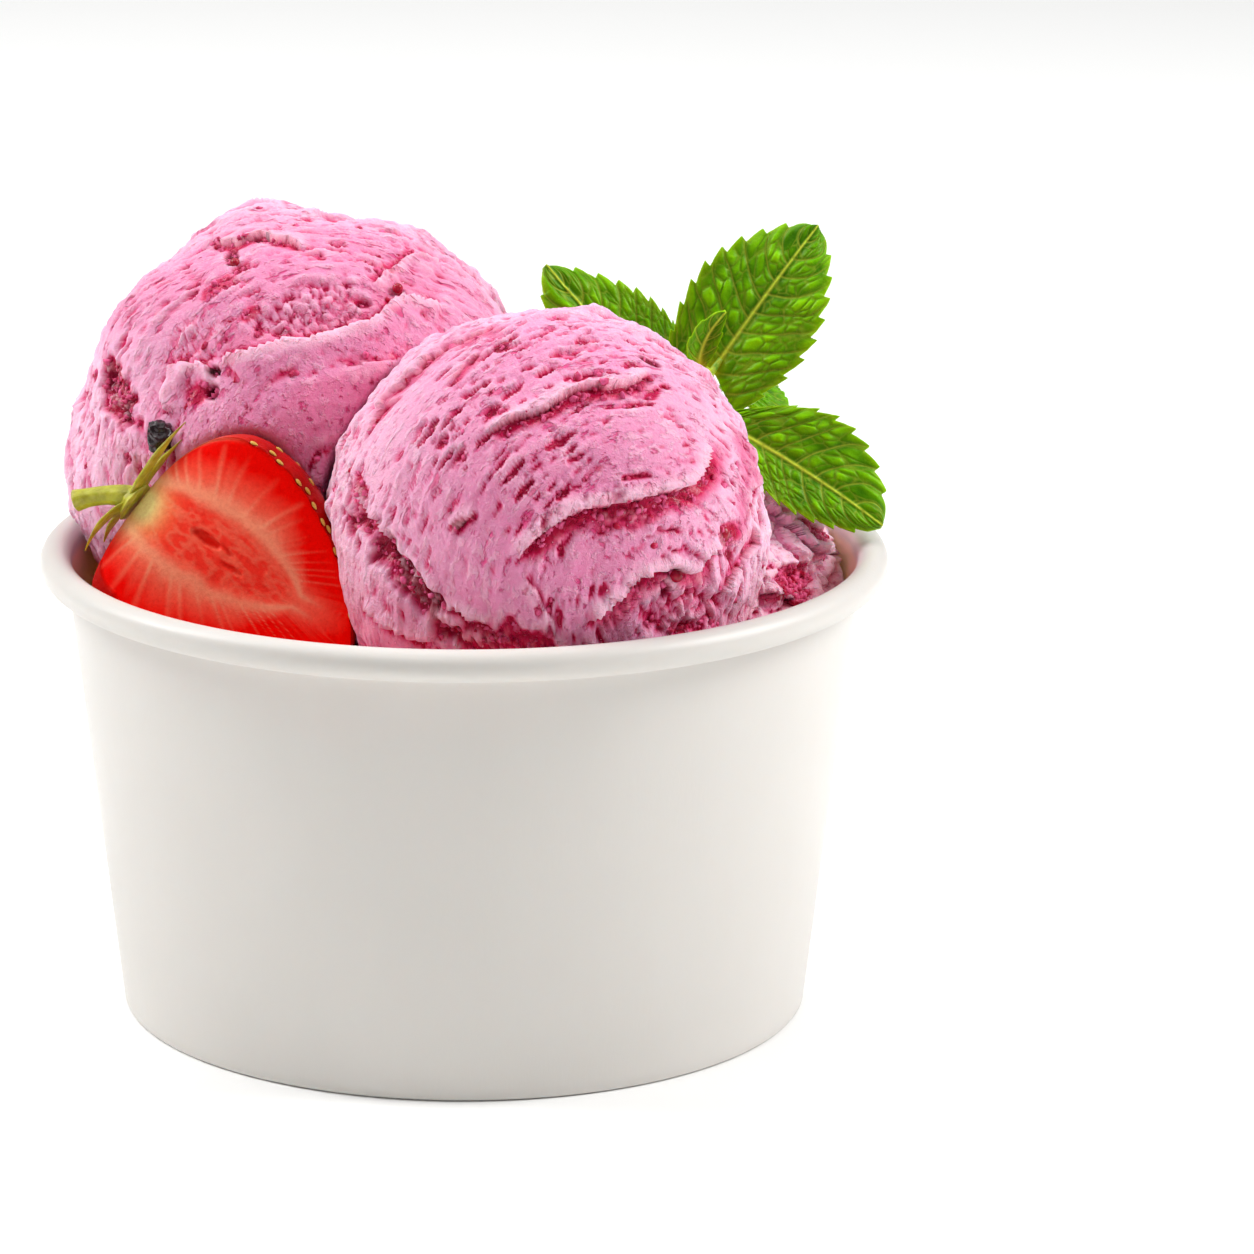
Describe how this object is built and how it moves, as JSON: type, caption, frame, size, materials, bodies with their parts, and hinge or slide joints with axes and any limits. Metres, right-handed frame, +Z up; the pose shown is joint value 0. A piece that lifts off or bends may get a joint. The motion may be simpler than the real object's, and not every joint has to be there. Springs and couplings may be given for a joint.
{
  "type": "paper ice cream cup",
  "caption": "Round white paper tub with a rolled rim, heaped with pink berry ice cream scoops, half a strawberry and a sprig of mint.",
  "frame": {"origin": "middle of the tub's foot, on the surface that it stands on", "axes": "+Z up along the tub's axis; -Y is the side that shows the strawberry's cut face; +X is the side with the mint"},
  "size_m": [0.096, 0.096, 0.0886],
  "materials": {
    "paper": "white coated paperboard, satin",
    "ice_cream": "frozen berry ice cream, soft and slightly wet",
    "strawberry": "wet cut strawberry flesh and glossy skin",
    "calyx": "yellow-green stalk and sepals",
    "mint": "fresh quilted leaf, satin gloss"
  },
  "bodies": {
    "root": {"cup_wall": "paper", "cup_base": "paper", "ice_cream_bed": "ice_cream", "scoop_front": "ice_cream", "scoop_back": "ice_cream", "scoop_right": "ice_cream", "strawberry_half": "strawberry", "strawberry_calyx": "calyx", "mint_stem": "mint", "mint_leaf_tall": "mint", "mint_leaf_left": "mint", "mint_leaf_right": "mint", "mint_leaf_low": "mint", "mint_leaf_young": "mint"}
  },
  "joints": []
}
